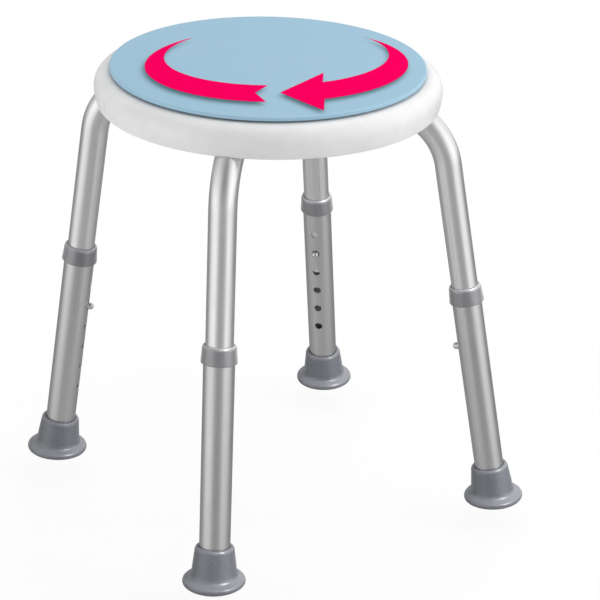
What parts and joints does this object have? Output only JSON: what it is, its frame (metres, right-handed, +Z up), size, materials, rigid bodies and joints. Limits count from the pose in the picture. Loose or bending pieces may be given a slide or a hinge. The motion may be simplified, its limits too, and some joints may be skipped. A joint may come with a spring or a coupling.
{
  "type": "height-adjustable swivel stool",
  "caption": "Round swivel shower stool: flat turning seat disc on a moulded base, crossed bent-tube frame and splayed telescopic legs with snap buttons and rubber feet.",
  "frame": {"origin": "on the floor, on the swivel axis", "axes": "+Z up along the swivel axis, legs on the diagonals, -Y front with the arrow head towards front left"},
  "size_m": [0.3764, 0.3764, 0.428],
  "materials": {
    "seat_shell": "white moulded, semi-gloss",
    "seat_disc": "light blue moulded, satin",
    "arrow_inlay": "magenta red vinyl",
    "acetal": "natural acetal",
    "saddle": "white moulded",
    "upper_tube": "polished anodised",
    "lower_tube": "satin anodised",
    "collar": "grey moulded",
    "foot_rubber": "grey, satin",
    "zinc_steel": "zinc plated",
    "button_steel": "polished",
    "spring_steel": "blued spring steel"
  },
  "bodies": {
    "root": {"seat_base": "seat_shell", "glide_ring": "acetal", "pivot_bush": "acetal", "frame_tube_a": "upper_tube", "frame_tube_b": "upper_tube", "tube_saddle_fl": "saddle", "saddle_screw_fl_a": "zinc_steel", "saddle_screw_fl_b": "zinc_steel", "button_spring_fl": "spring_steel", "tube_saddle_fr": "saddle", "saddle_screw_fr_a": "zinc_steel", "saddle_screw_fr_b": "zinc_steel", "button_spring_fr": "spring_steel", "tube_saddle_br": "saddle", "saddle_screw_br_a": "zinc_steel", "saddle_screw_br_b": "zinc_steel", "button_spring_br": "spring_steel", "tube_saddle_bl": "saddle", "saddle_screw_bl_a": "zinc_steel", "saddle_screw_bl_b": "zinc_steel", "button_spring_bl": "spring_steel"},
    "swivel": {"swivel_disc": "seat_disc", "rotation_arrow_tail": "arrow_inlay", "rotation_arrow_head": "arrow_inlay", "pivot_bolt": "zinc_steel", "pivot_washer": "zinc_steel", "pivot_nut": "zinc_steel"},
    "leg_fl": {"leg_extension_fl": "lower_tube", "leg_collar_fl": "collar", "rubber_foot_fl": "foot_rubber", "foot_washer_fl": "zinc_steel"},
    "button_fl": {"snap_button_fl": "button_steel"},
    "leg_fr": {"leg_extension_fr": "lower_tube", "leg_collar_fr": "collar", "rubber_foot_fr": "foot_rubber", "foot_washer_fr": "zinc_steel"},
    "button_fr": {"snap_button_fr": "button_steel"},
    "leg_br": {"leg_extension_br": "lower_tube", "leg_collar_br": "collar", "rubber_foot_br": "foot_rubber", "foot_washer_br": "zinc_steel"},
    "button_br": {"snap_button_br": "button_steel"},
    "leg_bl": {"leg_extension_bl": "lower_tube", "leg_collar_bl": "collar", "rubber_foot_bl": "foot_rubber", "foot_washer_bl": "zinc_steel"},
    "button_bl": {"snap_button_bl": "button_steel"}
  },
  "joints": [
    {"name": "seat_swivel", "type": "hinge", "parent": "root", "child": "swivel", "pos_m": [0, 0, 0.424], "axis": [0, 0, 1], "continuous": true},
    {"name": "leg_slide_fl", "type": "slide", "parent": "root", "child": "leg_fl", "axis": [-0.1131, -0.1131, -0.9871], "range_m": [-0.09, 0.0225], "stiffness_N_per_m": 30000, "deforming": ["snap_button_fl"]},
    {"name": "button_press_fl", "type": "slide", "parent": "root", "child": "button_fl", "axis": [-0.698, -0.698, 0.1599], "range_m": [0, 0.0065], "stiffness_N_per_m": 800, "springref_m": -0.002, "deforming": ["button_spring_fl"]},
    {"name": "leg_slide_fr", "type": "slide", "parent": "root", "child": "leg_fr", "axis": [0.1131, -0.1131, -0.9871], "range_m": [-0.09, 0.0225], "stiffness_N_per_m": 30000, "deforming": ["snap_button_fr"]},
    {"name": "button_press_fr", "type": "slide", "parent": "root", "child": "button_fr", "axis": [0.698, -0.698, 0.1599], "range_m": [0, 0.0065], "stiffness_N_per_m": 800, "springref_m": -0.002, "deforming": ["button_spring_fr"]},
    {"name": "leg_slide_br", "type": "slide", "parent": "root", "child": "leg_br", "axis": [0.1131, 0.1131, -0.9871], "range_m": [-0.09, 0.0225], "stiffness_N_per_m": 30000, "deforming": ["snap_button_br"]},
    {"name": "button_press_br", "type": "slide", "parent": "root", "child": "button_br", "axis": [0.698, 0.698, 0.1599], "range_m": [0, 0.0065], "stiffness_N_per_m": 800, "springref_m": -0.002, "deforming": ["button_spring_br"]},
    {"name": "leg_slide_bl", "type": "slide", "parent": "root", "child": "leg_bl", "axis": [-0.1131, 0.1131, -0.9871], "range_m": [-0.09, 0.0225], "stiffness_N_per_m": 30000, "deforming": ["snap_button_bl"]},
    {"name": "button_press_bl", "type": "slide", "parent": "root", "child": "button_bl", "axis": [-0.698, 0.698, 0.1599], "range_m": [0, 0.0065], "stiffness_N_per_m": 800, "springref_m": -0.002, "deforming": ["button_spring_bl"]}
  ]
}
